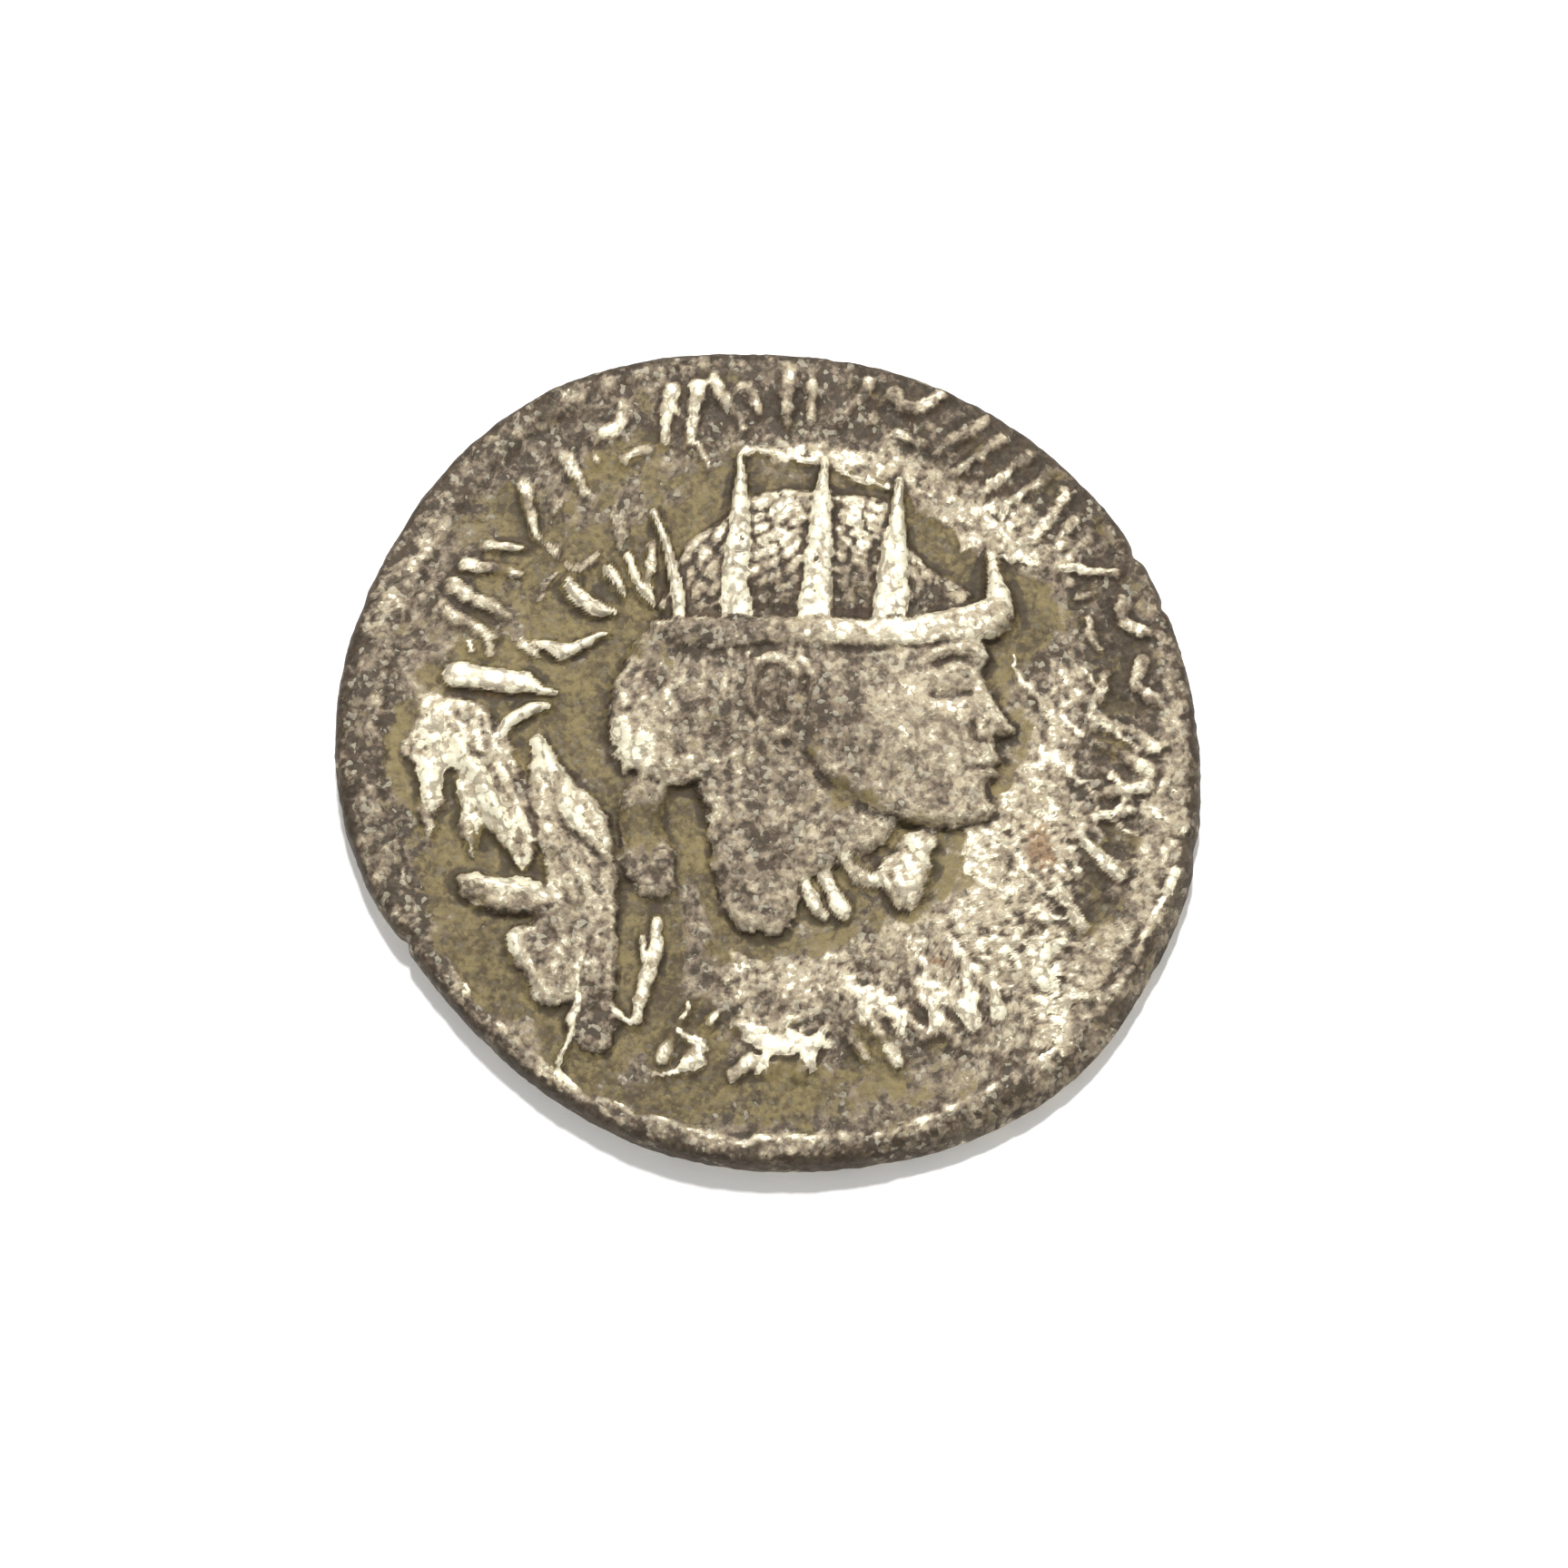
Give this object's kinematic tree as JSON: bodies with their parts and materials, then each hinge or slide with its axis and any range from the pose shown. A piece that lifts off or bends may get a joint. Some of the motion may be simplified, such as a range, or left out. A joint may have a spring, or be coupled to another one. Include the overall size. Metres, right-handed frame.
{
  "type": "antoninianus coin",
  "caption": "Ancient struck silver-alloy coin, lying flat: irregular round flan, radiate draped bust in relief above, worn standing figure below.",
  "frame": {"origin": "middle of the coin's box on its underside, the plane it rests on", "axes": "+Z out of the bust's side, +Y towards the points of the crown, +X the way the bust faces"},
  "size_m": [0.0226, 0.0218, 0.0018],
  "materials": {
    "worn_billon": "struck silver-copper alloy, worn bright on the high parts, olive-brown patina in the hollows"
  },
  "bodies": {
    "root": {"coin": "worn_billon"}
  },
  "joints": []
}
